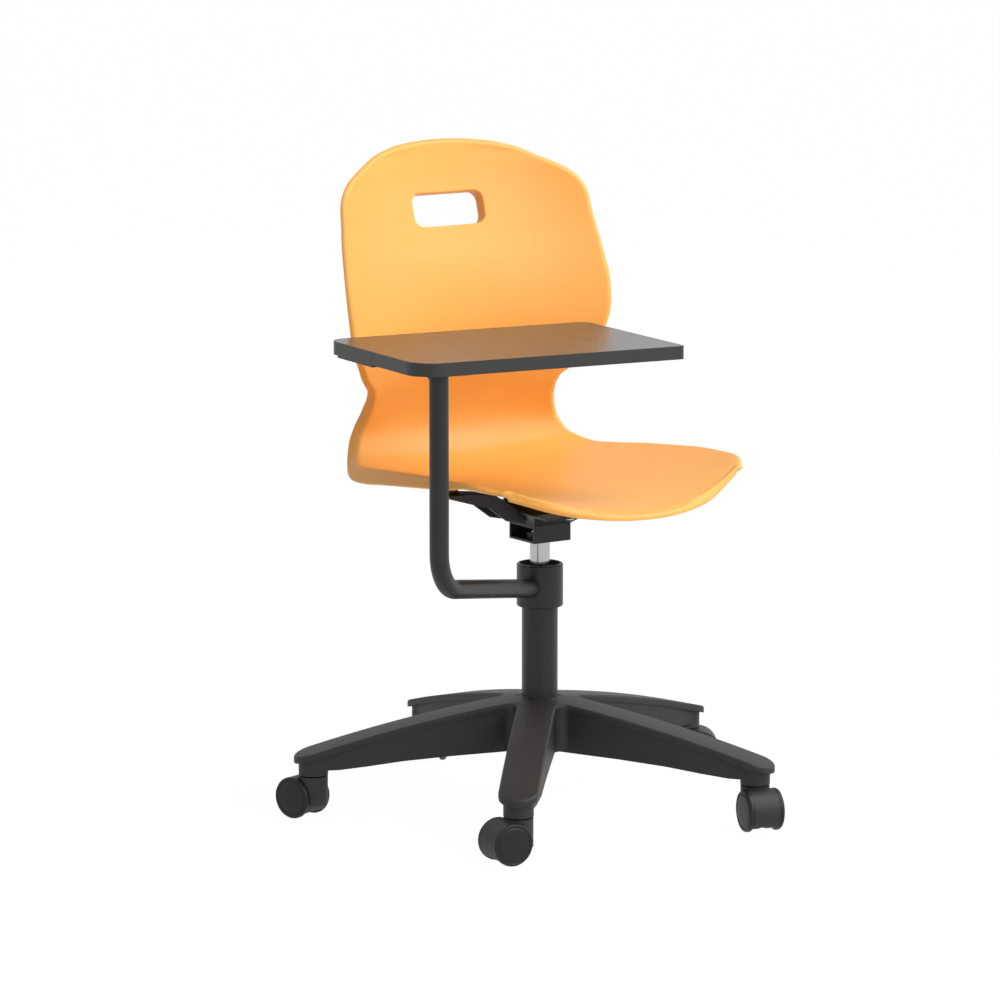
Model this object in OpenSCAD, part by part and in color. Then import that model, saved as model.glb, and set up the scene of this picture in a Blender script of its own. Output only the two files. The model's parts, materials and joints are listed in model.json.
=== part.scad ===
// Swivel chair with a one-piece seat shell and a writing tablet on a side arm.
// Millimetres, +Z up, origin on the floor under the column axis.
// The sitter faces -Y, so the sitter's right side is -X.

/* [Seat shell] */
// Overall width of the seat
seat_w = 458; // [440:1:476]
// Height of the middle of the seat above the floor
seat_h = 453; // [452:1:468]
// Reach of the front lip ahead of the column axis
seat_front = 266; // [240:1:285]
// Width across the waist, between the seat and the back
waist_w = 312; // [290:1:350]
// Width of the back at its widest
back_w = 440; // [405:1:465]
// Height of the top of the back above the floor
shell_top = 916; // [870:1:950]
// Reach of the shell behind the column axis
shell_rear = 255; // [238:1:272]
// Wall of the moulding
shell_t = 5.5; // [4.5:0.1:6.5]
// Radius of the rolled rim
rim_r = 7; // [6.6:0.1:10]
// Width of the hand hole in the back
grip_w = 118; // [95:1:130]
// Height of the hand hole
grip_h = 47; // [38:1:54]
// Height of the middle of the hand hole above the floor
grip_z = 818; // [795:1:830]

/* [Tablet] */
// Width of the writing tablet
tablet_w = 400; // [360:1:440]
// Depth of the writing tablet
tablet_d = 280; // [250:1:300]
// Thickness of the writing tablet
tablet_t = 18; // [15:1:22]
// Height of the writing surface above the floor
tablet_top = 672; // [660:1:720]
// Thickness of the edging strip
edging_t = 2; // [1:0.1:3]
// Thickness of the top laminate
laminate_t = 0.8; // [0.6:0.1:1.5]

/* [Tablet arm] */
// Diameter of the arm tube
arm_d = 26; // [22:0.5:30]
// Wall of the arm tube
arm_wall = 2; // [1.5:0.1:3]
// Distance of the upright from the column axis
arm_reach = 330; // [324:1:345]
// Middle-line radius of the bend
arm_bend = 57.5; // [45:0.5:70]
// Upward slope of the lower run, in degrees
arm_rise = 9.5; // [4:0.5:11]
// Turn of the tablet arm against the seat, in degrees
arm_turn = -6.5; // [-8:0.5:5]
// Outside diameter of the collar
collar_d = 64.5; // [62:0.5:72]
// Height of the collar
collar_h = 60; // [56:1:66]

/* [Column and lift] */
// Outside diameter of the column tube
column_d = 50; // [48:0.5:52]
// Wall of the column tube
column_wall = 2; // [1.5:0.1:2.5]
// Diameter of the bright gas cylinder
cylinder_d = 28; // [27:0.1:28.5]
// Height of the top of the column tube
column_top = 332; // [328:1:336]

/* [Seat support] */
// Side of the square box under the seat
box_w = 61; // [56:1:66]
// Height of the box
box_h = 24; // [22:1:28]
// Gauge of the pressed steel
steel_t = 3; // [2.5:0.1:3.5]
// Distance of the two side fixings from the column axis
wing_fix = 148; // [135:1:152]
// Distance of the front and rear fixings from the column axis
ledge_fix = 72; // [64:1:76]
// Length of the lever from the column axis
lever_reach = 205; // [180:1:215]

/* [Base] */
// Radius of the circle of caster stems
stem_circle = 321; // [300:1:340]
// Width of a leg
leg_w = 54; // [50:1:60]
// Height of the legs at the hub
hub_top = 156; // [150:1:159]
// Diameter of the boss that takes a caster stem
boss_d = 41; // [38:0.5:44]
// Wall of the moulded legs
leg_wall = 4; // [3:0.5:5]

/* [Casters] */
// Diameter of a caster wheel
wheel_d = 58; // [54:1:60]
// Overall width of the twin wheels
wheels_w = 52; // [46:1:54]
// Trail of the axle behind the stem
trail = 20; // [16:0.5:22]
// Diameter of the caster stem
stem_d = 11; // [10:0.5:12]

/* [Hidden] */
$fn = 64;

// Fits and small gaps
run_gap = 0.05;          // radial running clearance of a shaft in its bore
free_gap = 0.3;          // gap between pieces that move past each other

// Colours
c_black = [0.16, 0.16, 0.165];
c_steel = [0.72, 0.72, 0.73];
c_shell = [0.98, 0.66, 0.25];
c_nylon = [0.85, 0.84, 0.80];
c_top = [0.26, 0.24, 0.23];

// Column and lift
tube_bottom = 88;
end_plate = 3;
column_bore = column_d - 2 * column_wall;
flange_t = 2;
bush_h = 70;
rod_d = 10;
washer_t = 1.5;
ball_d = 4;
bearing_d = 24;
bearing_top = tube_bottom + end_plate + 2 * washer_t + ball_d;
shoulder_t = 3;
buffer_h = 6;
cylinder_wall = 2;
cylinder_low = 125;
gland_h = 15;
piston_z = 250;
piston_h = 12;
button_d = 8;

// Collar
washer_top = column_top + 2 * flange_t;
lip_t = 4;
collar_top = washer_top + lip_t + 6;
collar_low = collar_top - collar_h;
liner_wall = 2;
liner_d = column_d + 2 * run_gap + 2 * liner_wall;
lip_bore = 34;

// Seat box and its taper
box_low = collar_top + 33.5;
box_top = box_low + box_h;
taper_r = 0.5;
taper_top = box_low + 13;

// Pressed seat plate: a dish on the box, a flat ledge in front and behind, a wing at each side
dish_top = box_top + 20.5;
dish_x = 50;
ledge_y = 87;
ledge_in = 56;
wing_x0 = 46;
wing_knee = 88;
wing_flat = wing_fix - 14;
wing_x1 = wing_fix + 15;
wing_top = box_top + 53.5;
wing_w = 44;
fixing_d = 6;
boss_base_d = 20;
screw_in = 6;
wing_pad = 5;
ledge_pad = 18;
// Fixings: x, y, the face that meets the shell, and the height of the pad under it
fixings = [[-wing_fix, 0, wing_top + wing_pad, wing_pad], [wing_fix, 0, wing_top + wing_pad, wing_pad],
    [0, -ledge_fix, dish_top + ledge_pad, ledge_pad], [0, ledge_fix, dish_top + ledge_pad, ledge_pad]];

// Lever under the box top, with its pivot beside the cylinder
button_out = 3;
button_travel = 2.4;
lever_t = 4;
lever_w = 16;
lever_low = taper_top + button_out + free_gap;
pivot_x = 25;
pivot_z = lever_low + lever_t / 2 - 2.2;
pivot_d = 4;
lever_rod = 8;
lever_rise = 12.5;
grip_len = 65;

// Base legs: the top of each leg is an arc in its side view
leg_count = 5;
leg_turn = 14.5;
leg_arc = 2300;
leg_arc_mid = -297;
cap_t = 10;
cap_lip = 2;
neck_low = 62;
hub_d = 78;
hub_low = 86;
rib_t = 3;
leg_fillet = 15;
wall_taper = 70;
leg_arc_z = hub_top + 2 - sqrt(pow(leg_arc, 2) - pow(column_d / 2 - leg_arc_mid, 2));
function leg_top(r) = leg_arc_z + sqrt(pow(leg_arc, 2) - pow(r - leg_arc_mid, 2));

// Casters: the way each pair of wheels trails at rest, in degrees
caster_turns = [-30, 45, 108, 175, -105];
axle_z = wheel_d / 2;
axle_d = 6;
hood_wall = 2.5;
drum_r = wheel_d / 2 - 3.2;
flank_w = 7;
stem_up = 30;

// Tablet, in the arm's own frame
tablet_low = tablet_top - tablet_t;
arm_dir = -141.8;
arm_x = arm_reach * cos(arm_dir);
arm_y = arm_reach * sin(arm_dir);
arm_inset_x = 44.5;
arm_inset_y = 31;
tab_x0 = arm_x - arm_inset_x;
tab_y0 = arm_y - arm_inset_y;
// Corner radii: front right, front left, rear left and rear right of the sitter
tablet_corners = [38, 7, 18, 28];
plate_t = 3;
arm_root_z = 309.7;
arm_start = 29.8;
screw_d = 4;
tablet_screw_xy = [[-232, -150], [-232, -60], [-232, 22], [-266, -120], [-290, -75], [-290, -10]];
ear_y = arm_y + 110;

// Seat shell, as sections from the front lip to the top of the back.
// Each row: y and z on the middle line, half width, cup (how far the edges stand towards
// the sitter), sweep (how far the edges lie along the shell) and depth of the turned rim.
sf = seat_front - rim_r;
sr = shell_rear - shell_t;
sw = seat_w / 2 - rim_r;
ww = waist_w / 2 - rim_r;
bw = back_w / 2 - rim_r;
bh = shell_top - rim_r - seat_h;
sections = [
    // front lip
    [-sf, seat_h, 0.83 * sw, 17, 60, 1],
    [-0.93 * sf, seat_h + 4, 0.88 * sw, 29, 54, 1],
    [-0.775 * sf, seat_h + 6, 0.97 * sw, 38, 43, 2],
    // thighs
    [-0.56 * sf, seat_h + 6, 1.01 * sw, 39, 28, 7],
    [-0.305 * sf, seat_h + 4, 1.01 * sw, 40, 14, 12],
    [-0.04 * sf, seat_h + 1.5, 0.99 * sw, 38, 3, 14],
    [0.225 * sr, seat_h, 0.965 * sw, 35, -5, 16],
    [0.47 * sr, seat_h, 0.93 * sw, 30, -11, 17],
    // hips
    [0.675 * sr, seat_h + 4, 0.885 * sw, 26, -14, 17],
    [0.825 * sr, seat_h + 18, ww + 30, 28, -13, 15],
    [0.912 * sr, seat_h + 42, ww + 16, 32, -8, 13],
    [0.942 * sr, seat_h + 69, ww + 7, 35, -1, 10],
    // waist
    [0.925 * sr, seat_h + 0.225 * bh, ww, 39, 4, 8],
    [0.878 * sr, seat_h + 0.297 * bh, ww + 4, 41, 5, 5.5],
    [0.827 * sr, seat_h + 0.37 * bh, 0.855 * bw, 49, 3, 3],
    // small of the back
    [0.796 * sr, seat_h + 0.455 * bh, 0.97 * bw, 58, 1, 2],
    [0.798 * sr, seat_h + 0.542 * bh, bw, 56, 2, 1],
    [0.827 * sr, seat_h + 0.63 * bh, 0.983 * bw, 51, 5, 1],
    // shoulders
    [0.88 * sr, seat_h + 0.717 * bh, 0.953 * bw, 52, 8, 1],
    [0.932 * sr, seat_h + 0.805 * bh, 0.92 * bw, 53, 9, 1],
    [0.97 * sr, seat_h + 0.886 * bh, 0.797 * bw, 42, 3, 1],
    [0.992 * sr, seat_h + 0.965 * bh, 0.573 * bw, 21, -5, 1],
    // top edge
    [sr, seat_h + bh, 0.36 * bw, 9, -6, 1]];
last = len(sections) - 1;
rows = 58;
cols = 20;
rim_steps = 3;
rim_turn = 78;

// Points on the sections by a smooth spline through the rows
function row(i) = i < 0 ? 2 * sections[0] - sections[1]
    : i > last ? 2 * sections[last] - sections[last - 1] : sections[i];
function spline(a, b, c, d, t) = 0.5 * (2 * b + (c - a) * t
    + (2 * a - 5 * b + 4 * c - d) * t * t + (3 * b - a - 3 * c + d) * t * t * t);
function section(s) = let (i = min(floor(s), last - 1), t = s - i)
    spline(row(i - 1), row(i), row(i + 1), row(i + 2), t);
function unit(v) = v / norm(v);
function run_dir(s) = let (d = section(min(s + 0.05, last)) - section(max(s - 0.05, 0)))
    unit([0, d[0], d[1]]);
// Sitter's side of the shell at section s, with q from -1 at the right edge to 1 at the left
function skin(s, q) = let (c = section(s), t = run_dir(s), n = [0, -t[2], t[1]])
    [q * c[2], c[0], c[1]] + q * q * (c[3] * n + c[4] * t);
function skin_normal(s, q) = let (e = 0.02,
        ds = skin(min(s + e, last), q) - skin(max(s - e, 0), q),
        dq = skin(s, min(q + e, 1)) - skin(s, max(q - e, -1)))
    unit(cross(dq, ds));
function s_at(j) = last * j / rows;
function q_at(i) = 2 * i / cols - 1;
// The edge of the grid as one loop: front, left side, top and right side
loop = concat(
    [for (i = [0:cols - 1]) [0, i]],
    [for (j = [0:rows - 1]) [j, cols]],
    [for (i = [cols:-1:1]) [rows, i]],
    [for (j = [rows:-1:1]) [j, 0]]);
loop_n = len(loop);
function loop_at(k) = loop[(k + loop_n) % loop_n];
function loop_skin(k) = let (g = loop_at(k)) skin(s_at(g[0]), q_at(g[1]));
function loop_normal(k) = let (g = loop_at(k)) skin_normal(s_at(g[0]), q_at(g[1]));
function loop_out(k) = unit(cross(loop_skin(k + 1) - loop_skin(k - 1), loop_normal(k)));
// One rim point: step 1 to rim_steps goes round the roll, the step after it down the rim
function rim_point(k, step, depth) = let (
        g = loop_at(k), n = loop_normal(k), o = loop_out(k),
        a = rim_turn * min(step, rim_steps) / rim_steps,
        roll = loop_skin(k) + rim_r * (sin(a) * o - (1 - cos(a)) * n),
        drop = step > rim_steps ? section(s_at(g[0]))[5] : 0)
    roll + drop * (cos(a) * o - sin(a) * n) - depth * (cos(a) * n + sin(a) * o);

function grid_index(j, i) = j * (cols + 1) + i;
grid_n = (rows + 1) * (cols + 1);
side_n = grid_n + (rim_steps + 1) * loop_n;
// Index of a loop point on ring 0, the grid's own edge, or on a rim ring
function ring_index(k, ring, side) = let (m = k % loop_n, g = loop[m])
    side * side_n + (ring == 0 ? grid_index(g[0], g[1]) : grid_n + (ring - 1) * loop_n + m);
shell_points = concat(
    [for (depth = [0, shell_t]) each concat(
        [for (j = [0:rows], i = [0:cols]) skin(s_at(j), q_at(i)) - depth * skin_normal(s_at(j), q_at(i))],
        [for (step = [1:rim_steps + 1], k = [0:loop_n - 1]) rim_point(k, step, depth)])]);
function quad(a, b, c, d) = [[a, b, c], [a, c, d]];
shell_faces = concat(
    [for (j = [0:rows - 1], i = [0:cols - 1]) each quad(
        grid_index(j, i), grid_index(j + 1, i), grid_index(j + 1, i + 1), grid_index(j, i + 1))],
    [for (j = [0:rows - 1], i = [0:cols - 1]) each quad(
        side_n + grid_index(j, i), side_n + grid_index(j, i + 1),
        side_n + grid_index(j + 1, i + 1), side_n + grid_index(j + 1, i))],
    [for (r = [0:rim_steps], k = [0:loop_n - 1]) each quad(
        ring_index(k, r, 0), ring_index(k + 1, r, 0), ring_index(k + 1, r + 1, 0), ring_index(k, r + 1, 0))],
    [for (r = [0:rim_steps], k = [0:loop_n - 1]) each quad(
        ring_index(k, r, 1), ring_index(k, r + 1, 1), ring_index(k + 1, r + 1, 1), ring_index(k + 1, r, 1))],
    [for (k = [0:loop_n - 1]) each quad(
        ring_index(k, rim_steps + 1, 0), ring_index(k + 1, rim_steps + 1, 0),
        ring_index(k + 1, rim_steps + 1, 1), ring_index(k, rim_steps + 1, 1))]);

// Where the middle line reaches a given y on the seat, or a given z on the back
function seat_s(y, lo = 0, hi = 8) = hi - lo < 0.001 ? lo
    : let (m = (lo + hi) / 2) section(m)[0] < y ? seat_s(y, m, hi) : seat_s(y, lo, m);
function back_s(z, lo = 12, hi = 22) = hi - lo < 0.001 ? lo
    : let (m = (lo + hi) / 2) section(m)[1] < z ? back_s(z, m, hi) : back_s(z, lo, m);
// Height of the underside of the seat at x, y
function seat_under(x, y) = let (s = seat_s(y), c = section(s), q = x / c[2])
    skin(s, q)[2] - shell_t;
grip_s = back_s(grip_z);
grip_mid = skin(grip_s, 0);
grip_dir = skin_normal(grip_s, 0);
grip_tilt = atan2(grip_dir[2], -grip_dir[1]);
grip_lip = 5;
grip_lip_h = 14.5;

// A slot outline with rounded ends
module slot_shape(w, h, r) {
    square([w - 2 * r, h], center = true);
    square([w, h - 2 * r], center = true);
    for (x = [-1, 1], y = [-1, 1]) translate([x * (w / 2 - r), y * (h / 2 - r)]) circle(r = r);
}

// A plate outline with its own radius at each corner, in the order of tablet_corners
module plate_outline(w, d, r) {
    polygon([[r[0], 0], [w - r[1], 0], [w, r[1]], [w, d - r[2]], [w - r[2], d], [r[3], d],
        [0, d - r[3]], [0, r[0]]]);
    translate([r[0], r[0]]) circle(r = r[0]);
    translate([w - r[1], r[1]]) circle(r = r[1]);
    translate([w - r[2], d - r[2]]) circle(r = r[2]);
    translate([r[3], d - r[3]]) circle(r = r[3]);
}

module ring(od, id, h) {
    difference() {
        cylinder(d = od, h = h);
        translate([0, 0, -1]) cylinder(d = id, h = h + 2);
    }
}

// Base star: each leg is a curved top cap on two inset side walls, with crossed ribs between them
function leg_line(drop, r1) = [for (i = [0:16]) let (r = 20 + (r1 - 20) * i / 16) [r, leg_top(r) - drop]];

module leg_section(drop, r1) {
    polygon(concat(leg_line(drop, r1), [[r1, 70], [290, 70], [200, 79], [130, 83], [20, 87]]));
}

module along_leg(w) {
    rotate([90, 0, 0]) translate([0, 0, -w / 2]) linear_extrude(w) children();
}

module leg_cap() {
    r1 = stem_circle + leg_w / 2;
    intersection() {
        along_leg(leg_w) polygon(concat(leg_line(0, r1), [for (p = [16:-1:0]) leg_line(cap_t, r1)[p]]));
        linear_extrude(200) {
            translate([0, -leg_w / 2]) square([stem_circle, leg_w]);
            translate([stem_circle, 0]) circle(d = leg_w);
        }
    }
}

// Plan of a leg's walls, drawn in to the neck near the tip
module wall_plan(inset) {
    a = leg_w / 2 - cap_lip - inset;
    b = boss_d / 2 - 1 - inset;
    polygon([[0, -a], [stem_circle - wall_taper, -a], [stem_circle - 4, -b], [stem_circle - 4, b],
        [stem_circle - wall_taper, a], [0, a]]);
}

module leg_pocket() {
    r0 = hub_d / 2 - 2;
    r1 = stem_circle - boss_d / 2 + 4;
    intersection() {
        along_leg(leg_w) polygon(concat(leg_line(cap_t, stem_circle), [[stem_circle, 0], [20, 0]]));
        linear_extrude(200) wall_plan(leg_wall);
        translate([r0, -leg_w, 0]) cube([r1 - r0, 2 * leg_w, 200]);
    }
}

module leg_walls() {
    intersection() {
        along_leg(leg_w) leg_section(cap_t - 0.5, stem_circle);
        linear_extrude(200) wall_plan(0);
    }
}

module leg_ribs() {
    intersection() {
        along_leg(leg_w) leg_section(cap_t - 0.5, stem_circle);
        linear_extrude(200) wall_plan(leg_wall - 0.5);
        for (i = [1:4], a = [-1, 1])
            translate([hub_d / 2 + 12 + i * 48, 0, 0]) rotate([0, 0, a * 40])
                translate([-40, -rib_t / 2, 0]) cube([80, rib_t, 200]);
    }
}

module leg_neck() {
    r1 = stem_circle + leg_w / 2;
    intersection() {
        translate([stem_circle, 0, neck_low]) cylinder(d = boss_d, h = 100);
        along_leg(leg_w) polygon(concat(leg_line(cap_t / 2, r1), [[r1, 0], [20, 0]]));
    }
}

// Filled corner between two legs, with a round fillet
module corner_plan(inset) {
    half = 180 / leg_count;
    side = leg_w / 2 - 7;
    off = leg_w / 2 + leg_fillet - free_gap;
    c = off / sin(half);
    t = off / tan(half);
    x = t * cos(half) + side * sin(half);
    y = t * sin(half) - side * cos(half);
    difference() {
        polygon([[0, 0], [x, -y], [c, 0], [x, y]]);
        translate([c, 0]) circle(r = leg_fillet + inset);
    }
}

module at_legs(turn = 0) {
    for (k = [0:leg_count - 1]) rotate([0, 0, leg_turn + turn + k * 360 / leg_count]) children();
}

module base_star() {
    low = leg_line(cap_t, 90);
    color(c_black) difference() {
        union() {
            translate([0, 0, hub_low]) cylinder(d = hub_d, h = hub_top - hub_low);
            at_legs() leg_cap();
            at_legs(180 / leg_count) intersection() {
                linear_extrude(200) corner_plan(0);
                rotate_extrude() polygon(concat(leg_line(0, 90), [for (p = [16:-1:0]) low[p]]));
            }
            difference() {
                union() {
                    at_legs() leg_walls();
                    at_legs(180 / leg_count) intersection() {
                        linear_extrude(200) corner_plan(cap_lip);
                        rotate_extrude() polygon(concat(leg_line(cap_t - 0.5, 90), [[90, 88], [20, 88]]));
                    }
                }
                at_legs() leg_pocket();
            }
            at_legs() leg_ribs();
            at_legs() leg_neck();
        }
        cylinder(d = column_d, h = 220);
        at_legs() translate([stem_circle, 0, neck_low - 1])
            cylinder(d = stem_d + 2 * run_gap, h = stem_up + 1.5);
    }
}

// Column
module column_tube() {
    color(c_black) difference() {
        translate([0, 0, tube_bottom]) cylinder(d = column_d, h = column_top - tube_bottom);
        translate([0, 0, tube_bottom + end_plate]) cylinder(d = column_bore, h = 400);
        cylinder(d = rod_d + 2, h = 200);
    }
}

module column_bush() {
    color(c_nylon) difference() {
        union() {
            translate([0, 0, column_top - bush_h]) cylinder(d = column_bore, h = bush_h);
            translate([0, 0, column_top]) cylinder(d = column_d - 0.5, h = flange_t);
        }
        cylinder(d = cylinder_d + 2 * run_gap, h = 400);
    }
}

module thrust_bearing() {
    z = tube_bottom + end_plate;
    color(c_steel) {
        for (dz = [0, washer_t + ball_d]) translate([0, 0, z + dz]) ring(bearing_d, rod_d + 0.4, washer_t);
        for (a = [0:45:315]) rotate([0, 0, a])
            translate([bearing_d / 2 - 3.3, 0, z + washer_t + ball_d / 2]) sphere(d = ball_d - 0.02);
    }
}

module piston_rod() {
    color(c_steel) difference() {
        union() {
            translate([0, 0, tube_bottom - 6]) cylinder(d = rod_d, h = piston_z + piston_h - tube_bottom + 6);
            translate([0, 0, bearing_top]) cylinder(d = rod_d + 6, h = shoulder_t);
        }
        translate([0, 0, tube_bottom - 2]) ring(rod_d + 2, rod_d - 2, 2);
    }
}

module base_clip() {
    color(c_steel) translate([0, 0, tube_bottom - 2]) difference() {
        cylinder(d = 20, h = 2);
        translate([0, 0, -1]) cylinder(d = rod_d - 2, h = 4);
        translate([0, -(rod_d - 3) / 2, -1]) cube([20, rod_d - 3, 4]);
    }
}

module piston() {
    color(c_steel) translate([0, 0, piston_z])
        ring(cylinder_d - 2 * cylinder_wall - 2 * run_gap, rod_d, piston_h);
}

module column_buffer() {
    color(c_black) translate([0, 0, bearing_top + shoulder_t]) ring(bearing_d, rod_d, buffer_h);
}

// Casters, built at the origin with the wheels trailing along +X
module at_caster(k) {
    rotate([0, 0, leg_turn + (k - 1) * 360 / leg_count]) translate([stem_circle, 0, 0])
        rotate([0, 0, caster_turns[k - 1] - leg_turn - (k - 1) * 360 / leg_count]) children();
}

module at_axle() {
    translate([trail, 0, axle_z]) rotate([90, 0, 0]) children();
}

hood_w = wheels_w - 2 * flank_w - 2 * free_gap;
spine_w = 10;
housing_top = neck_low - 2.2;
module caster_housing() {
    color(c_black) difference() {
        union() {
            // hood over the wheels, with its stem socket in front
            at_axle() translate([0, 0, -hood_w / 2]) cylinder(r = wheel_d / 2 - 0.2, h = hood_w);
            intersection() {
                translate([0, 0, axle_z - 8]) cylinder(d = boss_d - 1, h = housing_top - axle_z + 8);
                translate([-50, -hood_w / 2 - 3, 0]) cube([100, hood_w + 6, 100]);
            }
        }
        // the wheels' drums run inside the hood, either side of the spine
        for (m = [0, 1]) mirror([0, m, 0]) translate([0, -spine_w / 2, 0]) at_axle()
            cylinder(r = drum_r + free_gap, h = 50);
        // the hood stops short of the floor
        translate([-60, -50, -10]) cube([120, 100, 10 + 9]);
        at_axle() translate([0, 0, -50]) cylinder(d = axle_d, h = 100);
        translate([0, 0, axle_z + 9]) cylinder(d = stem_d - 2, h = 60);
        // room for the drums under the socket
        for (m = [0, 1]) mirror([0, m, 0]) translate([0, -hood_w / 2, 0]) at_axle()
            cylinder(r = wheel_d / 2 + free_gap, h = 50);
    }
}

module caster_stem() {
    color(c_steel) {
        translate([0, 0, axle_z + 9]) cylinder(d = stem_d - 2, h = housing_top - axle_z - 9);
        translate([0, 0, housing_top]) cylinder(d = stem_d, h = stem_up);
        translate([0, 0, housing_top]) cylinder(d = stem_d + 6, h = neck_low - run_gap - housing_top);
    }
}

module caster_axle() {
    color(c_steel) at_axle() translate([0, 0, -wheels_w / 2 + 6]) cylinder(d = axle_d, h = wheels_w - 12);
}

// Wheel half: a drum under the hood, a tread outside it and a dished face
module wheel_half() {
    inner = spine_w / 2 + free_gap;
    outer = wheels_w / 2;
    tread = outer - flank_w;
    r = wheel_d / 2;
    color(c_black) at_axle() rotate_extrude() difference() {
        polygon([[axle_d / 2 + run_gap, inner], [drum_r, inner], [drum_r, tread], [r, tread],
            [r, outer - 3], [r - 1, outer - 1.2], [r - 3.4, outer - 0.4], [r - 4.4, outer - 1.4],
            [r - 5.6, outer - 1.4], [r - 7, outer - 0.3], [r / 3, outer], [0, outer],
            [0, outer - 4], [axle_d / 2 + run_gap, outer - 4]]);
        // lightening groove behind the face
        polygon([[axle_d / 2 + 4, inner - 1], [drum_r - 3, inner - 1], [drum_r - 3, tread - 2],
            [axle_d / 2 + 4, tread - 2]]);
    }
}

module caster_wheel_a() {
    mirror([0, 1, 0]) wheel_half();
}

module caster_wheel_b() {
    wheel_half();
}

module caster_part(k, p) {
    at_caster(k) {
        if (p == "housing") caster_housing();
        if (p == "stem") caster_stem();
        if (p == "axle") caster_axle();
        if (p == "wheel_a") caster_wheel_a();
        if (p == "wheel_b") caster_wheel_b();
    }
}

// Tablet arm
module in_arm() {
    rotate([0, 0, arm_turn]) children();
}

module arm_collar() {
    color(c_black) in_arm() difference() {
        union() {
            translate([0, 0, collar_low]) cylinder(d1 = collar_d - 3, d2 = collar_d, h = 1.5);
            translate([0, 0, collar_low + 1.5]) cylinder(d = collar_d, h = collar_h - 3);
            translate([0, 0, collar_top - 1.5]) cylinder(d1 = collar_d, d2 = collar_d - 3, h = 1.5);
        }
        translate([0, 0, collar_low - 1]) cylinder(d = liner_d, h = washer_top - collar_low + 1);
        translate([0, 0, collar_low]) cylinder(d = lip_bore, h = 100);
        translate([0, 0, washer_top + lip_t]) cylinder(d = liner_d + 2, h = 50);
        rotate([0, 0, arm_dir]) translate([0, 0, arm_root_z]) rotate([0, 90 - arm_rise, 0])
            translate([0, 0, arm_start]) cylinder(d = arm_d, h = collar_d);
    }
}

module collar_liner() {
    color(c_nylon) translate([0, 0, collar_low + 2])
        ring(liner_d, column_d + 2 * run_gap, column_top - collar_low - 2);
}

module thrust_washer() {
    color(c_nylon) translate([0, 0, column_top + flange_t]) ring(column_d - 0.5, lip_bore, flange_t);
}

arm_corner_z = arm_root_z + arm_reach * tan(arm_rise);
arm_tangent = arm_bend * tan((90 - arm_rise) / 2);
module arm_tube() {
    // the run, the bend and the upright share the bend's own frame, a hair apart where they meet
    seam = 0.01;
    bore = arm_d - 2 * arm_wall;
    color(c_black) in_arm() rotate([0, 0, arm_dir])
        translate([arm_reach - arm_bend, 0, arm_corner_z + arm_tangent]) rotate([90, 0, 0])
            rotate([0, 0, arm_rise - 90]) {
                translate([arm_bend, -seam, 0]) rotate([90, 0, 0])
                    ring(arm_d, bore, arm_reach / cos(arm_rise) - arm_tangent - arm_start);
                rotate_extrude(angle = 90 - arm_rise) translate([arm_bend, 0]) difference() {
                    circle(d = arm_d);
                    circle(d = bore);
                }
                rotate([0, 0, 90 - arm_rise]) translate([arm_bend, seam, 0]) rotate([-90, 0, 0])
                    ring(arm_d, bore, tablet_low - plate_t - arm_corner_z - arm_tangent - seam);
            }
}

module tablet_plate() {
    color(c_black) in_arm() translate([0, 0, tablet_low - plate_t]) difference() {
        union() {
            translate([arm_x - 21, arm_y - 14, 0]) cube([60, 256, plate_t]);
            translate([tab_x0 + 0.5, ear_y, 0]) cube([30, 106, plate_t]);
        }
        for (p = tablet_screw_xy) translate([p[0], p[1], -1]) cylinder(d = screw_d + 2 * run_gap, h = 10);
    }
}

module tablet_gusset() {
    g = 20;
    color(c_black) in_arm() translate([arm_x, arm_y, tablet_low - plate_t]) difference() {
        rotate([90, 0, 90]) translate([0, 0, -steel_t / 2]) linear_extrude(steel_t)
            polygon([[0, 0], [arm_d / 2 + g, 0], [arm_d / 2 + g, -3], [arm_d / 2, -g - 3], [0, -g - 3]]);
        translate([0, 0, -60]) cylinder(d = arm_d, h = 80);
    }
}

module tablet_outline(inset) {
    translate([tab_x0 + inset, tab_y0 + inset])
        plate_outline(tablet_w - 2 * inset, tablet_d - 2 * inset, [for (r = tablet_corners) r - inset]);
}

module tablet_board() {
    color(c_top) in_arm() difference() {
        translate([0, 0, tablet_low]) linear_extrude(tablet_t - laminate_t) tablet_outline(edging_t);
        for (p = tablet_screw_xy) translate([p[0], p[1], tablet_low - 1])
            cylinder(d = screw_d + 2 * run_gap, h = 13);
    }
}

module tablet_laminate() {
    color(c_top) in_arm() translate([0, 0, tablet_top - laminate_t])
        linear_extrude(laminate_t) tablet_outline(edging_t);
}

module tablet_edging() {
    color(c_black) in_arm() translate([0, 0, tablet_low]) linear_extrude(tablet_t) difference() {
        tablet_outline(0);
        tablet_outline(edging_t);
        // the ends of the strip meet on the right edge
        translate([tab_x0 - 1, ear_y]) square([edging_t + 2, 0.5]);
    }
}

module tablet_screws() {
    color(c_steel) in_arm() for (p = tablet_screw_xy) translate([p[0], p[1], tablet_low - plate_t]) {
        translate([0, 0, -2.4]) cylinder(d1 = 5.5, d2 = 8, h = 1);
        translate([0, 0, -1.4]) cylinder(d = 8, h = 1.4);
        cylinder(d = screw_d, h = plate_t + 11);
    }
}

// Lift
module gas_cylinder() {
    color(c_steel) difference() {
        union() {
            translate([0, 0, cylinder_low]) cylinder(d = cylinder_d, h = box_low - cylinder_low);
            translate([0, 0, box_low])
                cylinder(r1 = cylinder_d / 2, r2 = cylinder_d / 2 - taper_r, h = taper_top - box_low);
        }
        translate([0, 0, cylinder_low - 1])
            cylinder(d = cylinder_d - 2 * cylinder_wall, h = box_low - cylinder_low + 1);
        translate([0, 0, taper_top - 12]) cylinder(d = button_d + 2 * run_gap, h = 20);
    }
}

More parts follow.
